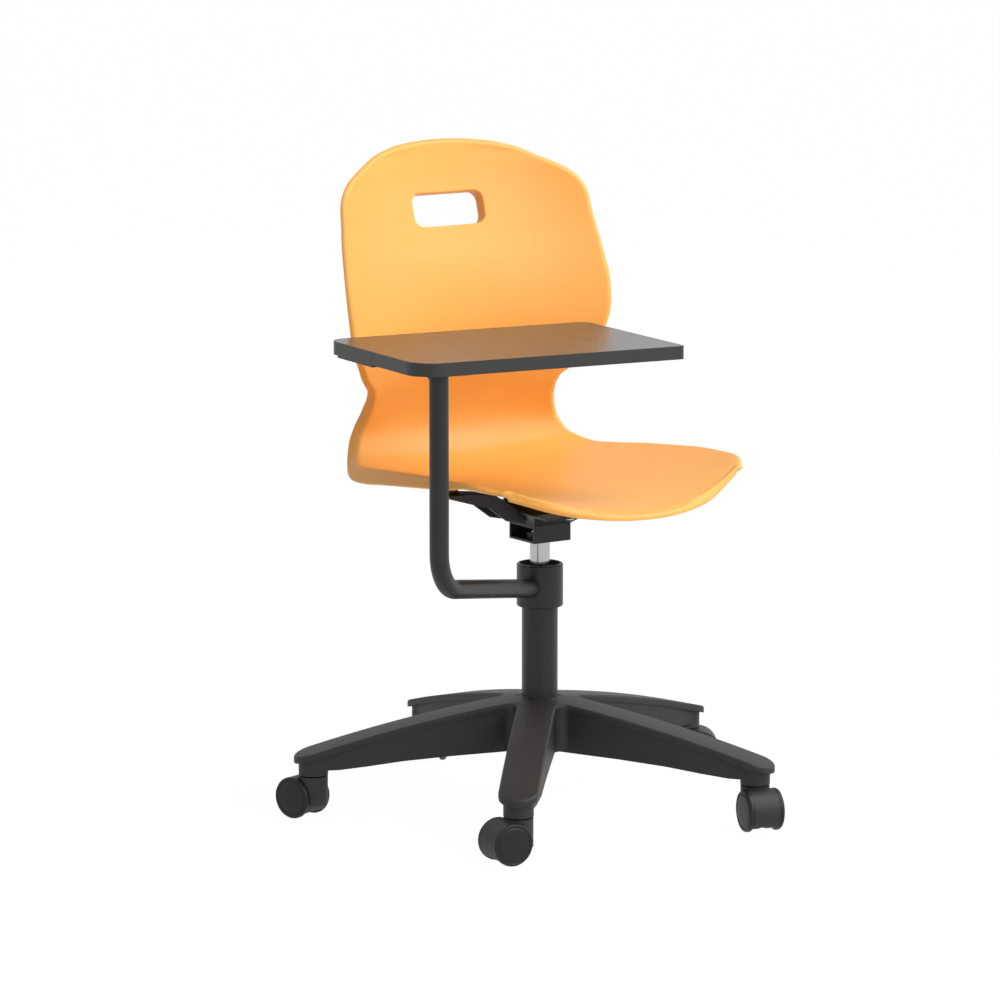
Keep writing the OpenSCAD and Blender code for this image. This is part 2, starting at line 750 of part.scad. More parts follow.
module cylinder_gland() {
    color(c_black) translate([0, 0, cylinder_low])
        ring(cylinder_d - 2 * cylinder_wall, rod_d + 2 * run_gap, gland_h);
}

module release_button() {
    color(c_steel) translate([0, 0, taper_top - 9]) cylinder(d = button_d, h = 9 + button_out);
}

// Seat support
module seat_box() {
    inner = box_w - 2 * steel_t;
    color(c_black) difference() {
        translate([-box_w / 2, -box_w / 2, box_low]) cube([box_w, box_w, box_h]);
        translate([-box_w, -inner / 2, box_low + steel_t]) cube([2 * box_w, inner, box_h - 2 * steel_t]);
        translate([0, 0, box_low - 1]) cylinder(r = cylinder_d / 2 + 0.2, h = steel_t + 2);
        translate([pivot_x, 0, pivot_z]) rotate([90, 0, 0]) translate([0, 0, -box_w])
            cylinder(d = pivot_d, h = 2 * box_w);
    }
}

module taper_socket() {
    slope = taper_r / (taper_top - box_low);
    h = taper_top - box_low - steel_t - 2;
    r = cylinder_d / 2 - slope * steel_t;
    color(c_steel) translate([0, 0, box_low + steel_t]) difference() {
        cylinder(d = cylinder_d + 10, h = h);
        translate([0, 0, -1]) cylinder(r1 = r + slope, r2 = r - slope * (h + 1), h = h + 2);
    }
}

// Plate sections: the outer line, and the inner line one gauge above it
module plate_xz(t) {
    polygon([[-dish_x + t, dish_top + t / 2], [-dish_x + t, dish_top], [-box_w / 2 + t, box_top + t],
        [box_w / 2 - t, box_top + t], [dish_x - t, dish_top], [dish_x - t, dish_top + t / 2]]);
}

module plate_yz(t) {
    y = t > 0 ? ledge_in - t / 2 : ledge_y;
    polygon([[-y, dish_top + t / 2], [-y, dish_top + t - steel_t], [-ledge_in + t / 2, dish_top + t - steel_t],
        [-box_w / 2 + t / 2, box_top + t], [box_w / 2 - t / 2, box_top + t],
        [ledge_in - t / 2, dish_top + t - steel_t], [y, dish_top + t - steel_t], [y, dish_top + t / 2]]);
}

module along_y(len) {
    rotate([90, 0, 0]) translate([0, 0, -len / 2]) linear_extrude(len) children();
}

module along_x(len) {
    rotate([90, 0, 90]) translate([0, 0, -len / 2]) linear_extrude(len) children();
}

module dish(t) {
    intersection() {
        along_y(4 * ledge_y) plate_xz(t);
        along_x(4 * dish_x) plate_yz(t);
    }
}

wing_rise = [[wing_x0, dish_top], [wing_knee, wing_top - 5.5], [wing_flat, wing_top], [wing_x1, wing_top]];
module wing_sheet() {
    polygon(concat([[wing_x0 - 6, dish_top]], wing_rise,
        [for (i = [3:-1:0]) wing_rise[i] - [0, steel_t]], [[wing_x0 - 6, dish_top - steel_t]]));
}

module wing_side() {
    polygon(concat([[wing_x0 - 2, dish_top]], wing_rise, [[wing_x1, wing_top - steel_t - 1],
        [wing_knee + 10, wing_top - 23], [wing_knee - 18, dish_top - 10], [wing_x0 - 8, box_top + 4]]));
}

module seat_spider() {
    color(c_black) difference() {
        union() {
            dish(0);
            for (m = [0, 1]) mirror([m, 0, 0]) {
                along_y(wing_w) wing_sheet();
                for (y = [-1, 1]) translate([0, y * (wing_w - steel_t) / 2, 0]) along_y(steel_t) wing_side();
            }
        }
        dish(steel_t);
        for (p = fixings) translate([p[0], p[1], p[2] - p[3] - 10]) cylinder(d = fixing_d + 0.6, h = 20);
    }
}

module seat_pads() {
    color(c_black) for (p = fixings) translate([p[0], p[1], p[2] - p[3]]) ring(boss_base_d, fixing_d + 0.6, p[3]);
}

// The hand hole's own frame, with +Z towards the sitter
module at_grip() {
    translate(grip_mid) rotate([90 - grip_tilt, 0, 0]) children();
}

module grip_ring() {
    difference() {
        slot_shape(grip_w + 2 * grip_lip, grip_h + 2 * grip_lip, 14 + grip_lip, $fn = 32);
        slot_shape(grip_w, grip_h, 14, $fn = 32);
    }
}

module seat_shell() {
    color(c_shell) difference() {
        union() {
            polyhedron(points = shell_points, faces = shell_faces, convexity = 8);
            // bosses for the fixings
            for (p = fixings) translate([p[0], p[1], p[2]])
                cylinder(d = boss_base_d, h = seat_under(p[0], p[1]) + shell_t / 2 - p[2], $fn = 24);
            // turned lip round the hand hole, on the rear face, which stands further forward at its ends
            at_grip() translate([0, 0, -grip_lip_h]) linear_extrude(grip_lip_h - 1) grip_ring();
            at_grip() intersection() {
                translate([0, 0, -4]) linear_extrude(6) grip_ring();
                for (m = [0, 1]) mirror([m, 0, 0]) translate([46, -grip_h, -10]) cube([grip_w, 2 * grip_h, 20]);
            }
        }
        at_grip() translate([0, 0, -30]) linear_extrude(60) slot_shape(grip_w, grip_h, 14, $fn = 32);
        for (p = fixings) translate([p[0], p[1], p[2] - 1])
            cylinder(d = fixing_d, h = screw_in + 1.5, $fn = 24);
    }
}

module seat_screws() {
    color(c_steel) for (p = fixings) translate([p[0], p[1], p[2] - p[3] - steel_t]) {
        translate([0, 0, -3.5]) cylinder(d = 12, h = 3.5);
        cylinder(d = fixing_d, h = steel_t + p[3] + screw_in);
    }
}

module lever_pin() {
    color(c_steel) translate([pivot_x, 0, pivot_z]) rotate([90, 0, 0])
        translate([0, 0, -box_w / 2 + 0.3]) cylinder(d = pivot_d, h = box_w - 0.6);
}

// Lever: flat under the box top, stepped up outside it, then a round rod with a grip
module release_lever() {
    x1 = box_w / 2 + 1;
    x2 = x1 + 18;
    rod_z = lever_low + lever_rise + lever_t / 2;
    color(c_black) difference() {
        union() {
            along_y(lever_w) polygon([[-6, lever_low], [x1, lever_low], [x2, lever_low + lever_rise],
                [x2 + 14, lever_low + lever_rise], [x2 + 14, lever_low + lever_rise + lever_t],
                [x2 - 0.5, lever_low + lever_rise + lever_t], [x1 + 0.5, lever_low + lever_t],
                [-6, lever_low + lever_t]]);
            translate([pivot_x, 0, pivot_z]) rotate([90, 0, 0]) translate([0, 0, -lever_w / 2])
                cylinder(d = pivot_d + 3.4, h = lever_w);
            translate([x2 + 2, 0, rod_z]) rotate([0, 90, 0]) cylinder(d = lever_rod, h = lever_reach - x2 - 12);
        }
        translate([pivot_x, 0, pivot_z]) rotate([90, 0, 0]) translate([0, 0, -20])
            cylinder(d = pivot_d + 2 * run_gap, h = 40);
    }
}

module lever_grip() {
    x0 = lever_reach - grip_len;
    color(c_black) translate([0, 0, lever_low + lever_rise + lever_t / 2]) difference() {
        union() {
            translate([x0, -6, -5.5]) cube([12, 12, 11]);
            translate([x0 + 10, 0, -5.5]) linear_extrude(11) {
                translate([0, -11]) square([grip_len - 22, 22]);
                circle(r = 11);
                translate([grip_len - 22, 0]) circle(r = 11);
            }
        }
        rotate([0, 90, 0]) cylinder(d = lever_rod, h = lever_reach - 10);
    }
}

base_star();
column_tube();
column_bush();
thrust_bearing();
piston_rod();
piston();
column_buffer();
base_clip();
for (k = [1:5], p = ["housing", "stem", "axle", "wheel_a", "wheel_b"])
    caster_part(k, p);
arm_collar();
collar_liner();
thrust_washer();
arm_tube();
tablet_plate();
tablet_gusset();
tablet_board();
tablet_edging();
tablet_laminate();
tablet_screws();
gas_cylinder();
cylinder_gland();
release_button();
seat_box();
taper_socket();
seat_spider();
seat_shell();
seat_screws();
seat_pads();
lever_pin();
release_lever();
lever_grip();
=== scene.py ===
"""Looks of a swivel chair with a one-piece seat shell and a writing tablet on a side arm."""
import json
import math

import bmesh
import bpy
import numpy as np
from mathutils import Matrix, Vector


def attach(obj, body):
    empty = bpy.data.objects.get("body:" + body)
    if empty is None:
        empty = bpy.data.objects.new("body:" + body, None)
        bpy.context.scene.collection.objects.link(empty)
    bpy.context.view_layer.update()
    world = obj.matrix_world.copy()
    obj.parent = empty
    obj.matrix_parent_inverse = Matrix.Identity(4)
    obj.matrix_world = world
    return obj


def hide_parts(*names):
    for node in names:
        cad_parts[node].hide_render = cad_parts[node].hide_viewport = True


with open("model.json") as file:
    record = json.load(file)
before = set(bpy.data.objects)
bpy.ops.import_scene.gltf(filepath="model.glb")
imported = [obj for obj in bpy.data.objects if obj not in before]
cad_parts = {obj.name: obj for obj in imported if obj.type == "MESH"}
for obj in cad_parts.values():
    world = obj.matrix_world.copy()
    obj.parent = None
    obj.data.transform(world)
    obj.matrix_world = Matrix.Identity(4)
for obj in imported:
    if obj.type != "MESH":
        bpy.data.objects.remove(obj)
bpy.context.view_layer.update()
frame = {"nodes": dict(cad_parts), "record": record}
nodes = frame["nodes"]
MM = 0.001


# Shader maths
class Wire:
    """One output of a material node, so that shader maths reads as plain Python."""

    def __init__(self, tree, socket):
        self.tree = tree
        self.socket = socket

    def maths(self, operation, first, second):
        node = self.tree.nodes.new("ShaderNodeMath")
        node.operation = operation
        for slot, value in zip(node.inputs, (first, second)):
            connect(self.tree, slot, value)
        return Wire(self.tree, node.outputs[0])

    def __add__(self, other):
        return self.maths("ADD", self, other)

    def __mul__(self, other):
        return self.maths("MULTIPLY", self, other)

    def above(self, other):
        return self.maths("MAXIMUM", self, other)

    __radd__ = __add__
    __rmul__ = __mul__


def connect(tree, slot, value):
    """Joins a wire to a node's input, or sets a plain value on it."""
    if isinstance(value, Wire):
        tree.links.new(value.socket, slot)
    elif isinstance(value, tuple) and len(value) == 3 and slot.type == "RGBA":
        slot.default_value = (*value, 1.0)
    else:
        slot.default_value = value


class Finish:
    """A material under construction, with one principled shader."""

    def __init__(self, name, **uniform):
        self.material = bpy.data.materials.new(name)
        self.material.use_nodes = True
        self.tree = self.material.node_tree
        self.tree.nodes.clear()
        self.shader = self.tree.nodes.new("ShaderNodeBsdfPrincipled")
        out = self.tree.nodes.new("ShaderNodeOutputMaterial")
        self.tree.links.new(self.shader.outputs[0], out.inputs[0])
        self.place = self.node("ShaderNodeTexCoord", out="Object")
        self.set(**uniform)

    def node(self, kind, out=0, **values):
        node = self.tree.nodes.new(kind)
        for key, value in values.items():
            connect(self.tree, node.inputs[key.replace("_", " ")], value)
        return Wire(self.tree, node.outputs[out])

    def noise(self, per_metre, detail=2.0, rough=0.5, stretch=None):
        place = self.place
        if stretch:
            place = self.node("ShaderNodeMapping", Vector=place, Scale=stretch)
        return self.node("ShaderNodeTexNoise", Vector=place, Scale=per_metre, Detail=detail, Roughness=rough)

    def cells(self, per_metre):
        return self.node("ShaderNodeTexVoronoi", Vector=self.place, Scale=per_metre)

    def blend(self, factor, first, second):
        node = self.tree.nodes.new("ShaderNodeMix")
        node.data_type = "RGBA"
        for slot, value in zip((node.inputs[0], node.inputs[6], node.inputs[7]), (factor, first, second)):
            connect(self.tree, slot, value)
        return Wire(self.tree, node.outputs[2])

    def relief(self, height, strength, depth):
        self.set(Normal=self.node("ShaderNodeBump", Height=height, Strength=strength, Distance=depth))

    def set(self, **values):
        for key, value in values.items():
            connect(self.tree, self.shader.inputs[key.replace("_", " ")], value)
        return self


# Finishes
def satin_polypropylene():
    """Moulded shell: fine spark texture, faint flow clouds and a soft sheen."""
    m = Finish("satin_polypropylene", IOR=1.46)
    clouds = m.noise(7, 3)
    grain = m.noise(900, 2)
    m.set(Base_Color=m.blend(clouds, (0.975, 0.430, 0.080), (0.985, 0.454, 0.092)))
    m.set(Roughness=0.42 + 0.06 * grain + 0.03 * clouds)
    m.relief(grain + 0.6 * m.cells(520), 0.10, 0.0003)
    return m.material


def powder_coat():
    """Satin black powder coat with its slight orange peel."""
    m = Finish("powder_coat", IOR=1.5, Specular_IOR_Level=0.36)
    peel = m.noise(420, 2)
    speck = m.noise(2600, 1)
    m.set(Base_Color=m.blend(speck, (0.012, 0.012, 0.0125), (0.019, 0.019, 0.020)))
    m.set(Roughness=0.36 + 0.10 * peel)
    m.relief(peel, 0.18, 0.0004)
    return m.material


def polished_cylinder():
    """Ground and chromed gas cylinder, with faint rings from grinding."""
    m = Finish("polished_cylinder", Metallic=1.0)
    rings = m.noise(60, 3, stretch=(0.2, 0.2, 60.0))
    m.set(Base_Color=m.blend(rings, (0.42, 0.42, 0.43), (0.50, 0.50, 0.51)))
    m.set(Roughness=0.16 + 0.08 * rings)
    m.relief(rings, 0.05, 0.0001)
    return m.material


def zinc_plate():
    """Bright zinc plating, slightly clouded."""
    m = Finish("zinc_plate", Metallic=1.0)
    clouds = m.noise(260, 3)
    m.set(Base_Color=m.blend(clouds, (0.48, 0.48, 0.49), (0.62, 0.62, 0.61)))
    m.set(Roughness=0.28 + 0.16 * clouds)
    m.relief(m.noise(1400, 2), 0.08, 0.0002)
    return m.material


def bearing_nylon():
    """Dense black nylon of the bushes and liners."""
    m = Finish("bearing_nylon", IOR=1.52)
    grain = m.noise(1300, 2)
    m.set(Base_Color=m.blend(grain, (0.018, 0.018, 0.018), (0.028, 0.028, 0.028)))
    m.set(Roughness=0.42 + 0.10 * grain)
    m.relief(grain, 0.10, 0.0002)
    return m.material


def filled_nylon():
    """Glass-filled nylon of the base and hoods, with a fine leathery texture."""
    m = Finish("filled_nylon", IOR=1.5, Specular_IOR_Level=0.4)
    clouds = m.noise(22, 3)
    grain = m.noise(700, 3)
    m.set(Base_Color=m.blend(clouds, (0.015, 0.015, 0.015), (0.020, 0.020, 0.020)))
    m.set(Roughness=0.48 + 0.12 * grain + 0.04 * clouds)
    m.relief(grain + 0.5 * m.cells(1100), 0.22, 0.0003)
    return m.material


def wheel_nylon():
    """Smooth moulded nylon of the wheels, with dust scuffs round the tread."""
    m = Finish("wheel_nylon", IOR=1.5, Specular_IOR_Level=0.3)
    clouds = m.noise(90, 3)
    scuff = m.noise(700, 3, stretch=(1.0, 1.0, 0.15))
    m.set(Base_Color=m.blend(clouds * scuff, (0.009, 0.009, 0.009), (0.019, 0.0185, 0.0185)))
    m.set(Roughness=0.38 + 0.16 * scuff)
    m.relief(scuff, 0.12, 0.0002)
    return m.material


def soft_rubber():
    """Matt black rubber of the buffer and gland."""
    m = Finish("soft_rubber", IOR=1.5)
    grain = m.noise(1500, 2)
    m.set(Base_Color=m.blend(grain, (0.016, 0.016, 0.016), (0.026, 0.026, 0.026)))
    m.set(Roughness=0.72 + 0.12 * grain)
    m.relief(grain, 0.2, 0.0002)
    return m.material


def dark_laminate():
    """Dark pressed laminate of the writing surface, semi-gloss with a fine pore texture."""
    m = Finish("dark_laminate", IOR=1.45)
    pores = m.noise(900, 3, stretch=(0.35, 1.0, 1.0))
    clouds = m.noise(16, 3, stretch=(0.5, 1.0, 1.0))
    m.set(Base_Color=m.blend(clouds, (0.030, 0.027, 0.025), (0.040, 0.036, 0.033)))
    m.set(Roughness=0.24 + 0.05 * pores + 0.03 * clouds)
    m.relief(pores, 0.06, 0.0002)
    return m.material


def edge_strip():
    """Satin black edging strip."""
    m = Finish("edge_strip", IOR=1.5, Specular_IOR_Level=0.45)
    grain = m.noise(800, 2, stretch=(1.0, 1.0, 3.0))
    m.set(Base_Color=m.blend(grain, (0.020, 0.020, 0.019), (0.028, 0.028, 0.027)))
    m.set(Roughness=0.42 + 0.08 * grain)
    m.relief(grain, 0.10, 0.0002)
    return m.material


def backing_paper():
    """Dark balancing laminate on the underside of the particle board."""
    m = Finish("backing_paper", IOR=1.45)
    flakes = m.cells(380)
    clouds = m.noise(30, 3)
    m.set(Base_Color=m.blend(clouds, (0.034, 0.030, 0.027), (0.050, 0.044, 0.039)))
    m.set(Roughness=0.50 + 0.12 * flakes)
    m.relief(flakes, 0.08, 0.0002)
    return m.material


FINISHES = {
    "shell_plastic": satin_polypropylene(),
    "black_paint": powder_coat(),
    "bright_steel": polished_cylinder(),
    "steel": zinc_plate(),
    "nylon": bearing_nylon(),
    "black_plastic": filled_nylon(),
    "wheel_plastic": wheel_nylon(),
    "black_rubber": soft_rubber(),
    "tablet_top": dark_laminate(),
    "edging": edge_strip(),
    "board": backing_paper(),
}
for subpart in frame["record"]["subparts"]:
    mesh = nodes[subpart["node"]].data
    mesh.materials.clear()
    mesh.materials.append(FINISHES[subpart["material_slot"]])


def new_piece(name, points, faces, slot, body, replaced, crease=40):
    """A mesh piece in its place, smooth apart from its sharp edges, in a finish of the record."""
    mesh = bpy.data.meshes.new(name)
    mesh.from_pydata([tuple(p) for p in points], [], [tuple(f) for f in faces])
    mesh.validate()
    work = bmesh.new()
    work.from_mesh(mesh)
    bmesh.ops.recalc_face_normals(work, faces=work.faces)
    work.to_mesh(mesh)
    work.free()
    mesh.polygons.foreach_set("use_smooth", [True] * len(mesh.polygons))
    mesh.set_sharp_from_angle(angle=math.radians(crease))
    mesh.materials.append(FINISHES[slot])
    piece = bpy.data.objects.new(name, mesh)
    bpy.context.scene.collection.objects.link(piece)
    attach(piece, body)
    if replaced:
        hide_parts(*replaced)
    return piece


# Seat shell, from the same sections as the part's source, in millimetres
SEAT_W, SEAT_H, SEAT_FRONT, WAIST_W, BACK_W = 458, 453, 266, 312, 440
SHELL_TOP, SHELL_REAR, SHELL_T, RIM_R = 916, 255, 5.5, 7
GRIP_W, GRIP_H, GRIP_Z, GRIP_R, GRIP_LIP, GRIP_DEEP = 118, 47, 818, 14, 5, 14.5
GRIP_FILLET, LIP_ROOT = 2.5, 1.5
ROLL_END = 78     # degrees that the rim rolls over
SOFT_EDGE = 0.9   # rounding of the moulding's own edges
SOFT_CUT = 0.3    # where the rounding's middle point lies
SF, SR = SEAT_FRONT - RIM_R, SHELL_REAR - SHELL_T
SW, WW, BW = SEAT_W / 2 - RIM_R, WAIST_W / 2 - RIM_R, BACK_W / 2 - RIM_R
BH = SHELL_TOP - RIM_R - SEAT_H
# Each row: y and z on the middle line, half width, cup, sweep and depth of the turned rim
SECTIONS = np.array([
    [-SF, SEAT_H, 0.83 * SW, 17, 60, 1],
    [-0.93 * SF, SEAT_H + 4, 0.88 * SW, 29, 54, 1],
    [-0.775 * SF, SEAT_H + 6, 0.97 * SW, 38, 43, 2],
    [-0.56 * SF, SEAT_H + 6, 1.01 * SW, 39, 28, 7],
    [-0.305 * SF, SEAT_H + 4, 1.01 * SW, 40, 14, 12],
    [-0.04 * SF, SEAT_H + 1.5, 0.99 * SW, 38, 3, 14],
    [0.225 * SR, SEAT_H, 0.965 * SW, 35, -5, 16],
    [0.47 * SR, SEAT_H, 0.93 * SW, 30, -11, 17],
    [0.675 * SR, SEAT_H + 4, 0.885 * SW, 26, -14, 17],
    [0.825 * SR, SEAT_H + 18, WW + 30, 28, -13, 15],
    [0.912 * SR, SEAT_H + 42, WW + 16, 32, -8, 13],
    [0.942 * SR, SEAT_H + 69, WW + 7, 35, -1, 10],
    [0.925 * SR, SEAT_H + 0.225 * BH, WW, 39, 4, 8],
    [0.878 * SR, SEAT_H + 0.297 * BH, WW + 4, 41, 5, 5.5],
    [0.827 * SR, SEAT_H + 0.37 * BH, 0.855 * BW, 49, 3, 3],
    [0.796 * SR, SEAT_H + 0.455 * BH, 0.97 * BW, 58, 1, 2],
    [0.798 * SR, SEAT_H + 0.542 * BH, BW, 56, 2, 1],
    [0.827 * SR, SEAT_H + 0.63 * BH, 0.983 * BW, 51, 5, 1],
    [0.88 * SR, SEAT_H + 0.717 * BH, 0.953 * BW, 52, 8, 1],
    [0.932 * SR, SEAT_H + 0.805 * BH, 0.92 * BW, 53, 9, 1],
    [0.97 * SR, SEAT_H + 0.886 * BH, 0.797 * BW, 42, 3, 1],
    [0.992 * SR, SEAT_H + 0.965 * BH, 0.573 * BW, 21, -5, 1],
    [SR, SEAT_H + BH, 0.36 * BW, 9, -6, 1]])
LAST = len(SECTIONS) - 1
PADDED = np.vstack([2 * SECTIONS[0] - SECTIONS[1], SECTIONS, 2 * SECTIONS[-1] - SECTIONS[-2]])


def section(s):
    """The six section values at s, on a smooth spline through the rows."""
    s = np.clip(np.asarray(s, float), 0, LAST)
    i = np.minimum(np.floor(s).astype(int), LAST - 1)
    t = (s - i)[..., None]
    a, b, c, d = (PADDED[i + k] for k in range(4))
    return 0.5 * (2 * b + (c - a) * t + (2 * a - 5 * b + 4 * c - d) * t**2 + (3 * b - a - 3 * c + d) * t**3)


def unit(v):
    return v / np.linalg.norm(v, axis=-1, keepdims=True)


def skin(s, q):
    """Sitter's side of the shell: q runs from -1 at the right edge to 1 at the left."""
    c = section(s)
    step = section(np.minimum(s + 0.05, LAST)) - section(np.maximum(s - 0.05, 0))
    t = unit(np.stack([0 * step[..., 0], step[..., 0], step[..., 1]], -1))
    n = np.stack([0 * t[..., 0], -t[..., 2], t[..., 1]], -1)
    middle = np.stack([q * c[..., 2], c[..., 0], c[..., 1]], -1)
    return middle + (q * q)[..., None] * (c[..., 3:4] * n + c[..., 4:5] * t)


def skin_normal(s, q, e=0.02):
    ds = skin(np.minimum(s + e, LAST), q) - skin(np.maximum(s - e, 0), q)
    dq = skin(s, np.minimum(q + e, 1)) - skin(s, np.maximum(q - e, -1))
    return unit(np.cross(dq, ds))


def smooth_round(v, times):
    """Evens out directions that run round a closed loop."""
    for _ in range(times):
        v = unit(np.roll(v, 1, 0) + 2 * v + np.roll(v, -1, 0))
    return v


def slot_line(count, grow):
    """Points round the hand hole's outline, grown outwards, and the way out at each, from the middle right."""
    half_w, half_h = GRIP_W / 2 - GRIP_R, GRIP_H / 2 - GRIP_R
    arc = math.pi / 2 * GRIP_R
    legs = [half_h, arc, 2 * half_w, arc, 2 * half_h, arc, 2 * half_w, arc, half_h]
    starts = np.concatenate([[0], np.cumsum(legs)])
    corners = [(half_w, half_h), (-half_w, half_h), (-half_w, -half_h), (half_w, -half_h)]
    line, out = [], []
    for d in np.arange(count) / count * starts[-1]:
        k = int(np.searchsorted(starts, d, "right")) - 1
        f = (d - starts[k]) / legs[k]
        if k % 2:
            corner = corners[k // 2]
            a = math.pi / 2 * (k // 2 + f)
        else:
            a = math.pi / 2 * (k // 2)
            side = (k // 2) % 4
            ends = [corners[side - 1], corners[side]]
            if k == 0:
                f = 0.5 + f / 2
            elif k == 8:
                f = f / 2
            corner = np.array(ends[0]) * (1 - f) + np.array(ends[1]) * f
        way = np.array([math.cos(a), math.sin(a)])
        line.append(np.array(corner) + way * (GRIP_R + grow))
        out.append(way)
    return np.array(line), np.array(out)


def seat_shell(rows=330, cols=96):
    """The moulding: sitter's face, rolled rim, rear face and the lipped hand hole, as one closed skin."""
    s_of = LAST * np.arange(rows + 1) / rows
    q_of = 2 * np.arange(cols + 1) / cols - 1
    s, q = np.meshgrid(s_of, q_of, indexing="ij")
    front, normal = skin(s, q), skin_normal(s, q)
    for _ in range(30):
        normal[1:-1] = unit(normal[:-2] + 2 * normal[1:-1] + normal[2:])
    points = list(front.reshape(-1, 3)) + list((front - SHELL_T * normal).reshape(-1, 3))
    back = (rows + 1) * (cols + 1)
    faces = []

    def at(j, i):
        return j * (cols + 1) + i

    # window of the grid that is left out for the hand hole
    middle = np.interp(GRIP_Z, section(s_of[rows // 2:])[:, 1], s_of[rows // 2:])
    j0, j1 = (int(round((middle + d) * rows / LAST)) for d in (-1.0, 1.0))
    i0, i1 = (int(round((d + 1) * cols / 2)) for d in (-0.4, 0.4))
    for j in range(rows):
        for i in range(cols):
            if not (j0 <= j < j1 and i0 <= i < i1):
                quad = (at(j, i), at(j, i + 1), at(j + 1, i + 1), at(j + 1, i))
                faces.append(quad)
                faces.append(tuple(back + k for k in reversed(quad)))

    def join(first, second):
        """Quads between two closed rings of point numbers."""
        n = len(first)
        for k in range(n):
            m = (k + 1) % n
            faces.append((first[k], first[m], second[m], second[k]))

    def ring(new):
        points.extend(new)
        return list(range(len(points) - len(new), len(points)))

    # rolled rim
    loop = [(0, i) for i in range(cols)] + [(j, cols) for j in range(rows)]
    loop += [(rows, i) for i in range(cols, 0, -1)] + [(j, 0) for j in range(rows, 0, -1)]
    edge = [at(j, i) for j, i in loop]
    base = np.array([points[k] for k in edge])
    n = smooth_round(normal.reshape(-1, 3)[edge], 20)
    ls = np.array([s_of[j] for j, _ in loop])
    o = unit(np.cross(np.roll(base, -1, 0) - np.roll(base, 1, 0), n))
    o = smooth_round(o, 60)
    o = unit(o - (o * n).sum(1, keepdims=True) * n)
    drop = section(ls)[:, 5:6]

    def rim(turn, down, depth):
        a = math.radians(turn)
        roll = base + RIM_R * (math.sin(a) * o - (1 - math.cos(a)) * n)
        return roll + down * (math.cos(a) * o - math.sin(a) * n) - depth * (math.cos(a) * n + math.sin(a) * o)

    turns = np.linspace(ROLL_END, 0, 9)[:-1][::-1]
    last_ring = edge
    for turn in turns:
        new = ring(rim(turn, 0, 0))
        join(new, last_ring)
        last_ring = new
    for share, back_off, depth in [(0.5, 0, 0), (1, SOFT_EDGE, 0), (1, SOFT_CUT, SOFT_CUT), (1, 0, SOFT_EDGE),
                                   (1, 0, SHELL_T - SOFT_EDGE), (1, SOFT_CUT, SHELL_T - SOFT_CUT),
                                   (1, SOFT_EDGE, SHELL_T), (0.5, 0, SHELL_T)]:
        new = ring(rim(ROLL_END, drop * share - back_off, depth))
        join(new, last_ring)
        last_ring = new
    for turn in turns[::-1]:
        new = ring(rim(turn, 0, SHELL_T))
        join(new, last_ring)
        last_ring = new
    join([back + k for k in edge], last_ring)

    # hand hole: its plane, then rings from the window to the rounded edge, the wall and the rear lip
    centre = skin(np.array([middle]), np.array([0.0]))[0]
    deep = skin_normal(np.array([middle]), np.array([0.0]))[0]
    up = np.cross(deep, [1.0, 0.0, 0.0])
    window = [(j, i1) for j in range(j0, j1)] + [(j1, i) for i in range(i1, i0, -1)]
    window += [(j, i0) for j in range(j1, j0, -1)] + [(j0, i) for i in range(i0, i1)]
    start = (j1 - j0) // 2
    window = window[start:] + window[:start]
    frame_ids = [at(j, i) for j, i in window]
    ws, wq = np.array([s_of[j] for j, _ in window]), np.array([q_of[i] for _, i in window])
    count = len(window)

    def flat(p):
        return np.stack([(p - centre) @ np.array([1.0, 0, 0]), (p - centre) @ up], -1)

    def find(target, s0, q0):
        """Where on the shell a point of the hole's plane lies."""
        for _ in range(8):
            here = flat(skin(s0, q0))
            fs = (flat(skin(s0 + 0.01, q0)) - here) / 0.01
            fq = (flat(skin(s0, q0 + 0.01)) - here) / 0.01
            det = fs[:, 0] * fq[:, 1] - fs[:, 1] * fq[:, 0]
            gap = target - here
            s0 = s0 + (gap[:, 0] * fq[:, 1] - gap[:, 1] * fq[:, 0]) / det
            q0 = q0 + (fs[:, 0] * gap[:, 1] - fs[:, 1] * gap[:, 0]) / det
        return s0, q0

    outer = flat(np.array([points[k] for k in frame_ids]))

    def web(grow, depth, first):
        """Rings on one face of the shell, from the window in to the outline grown by some millimetres."""
        inner, _ = slot_line(count, grow)
        rim_ids = first
        for f in (0.12, 0.27, 0.43, 0.58, 0.72, 0.84, 0.93, 1.0):
            ss, qq = find(outer * (1 - f) + inner * f, ws, wq)
            where = skin(ss, qq) - depth * skin_normal(ss, qq)
            new = ring(where)
            if depth:
                join(new, rim_ids)
            else:
                join(rim_ids, new)
            rim_ids = new
        return rim_ids, where

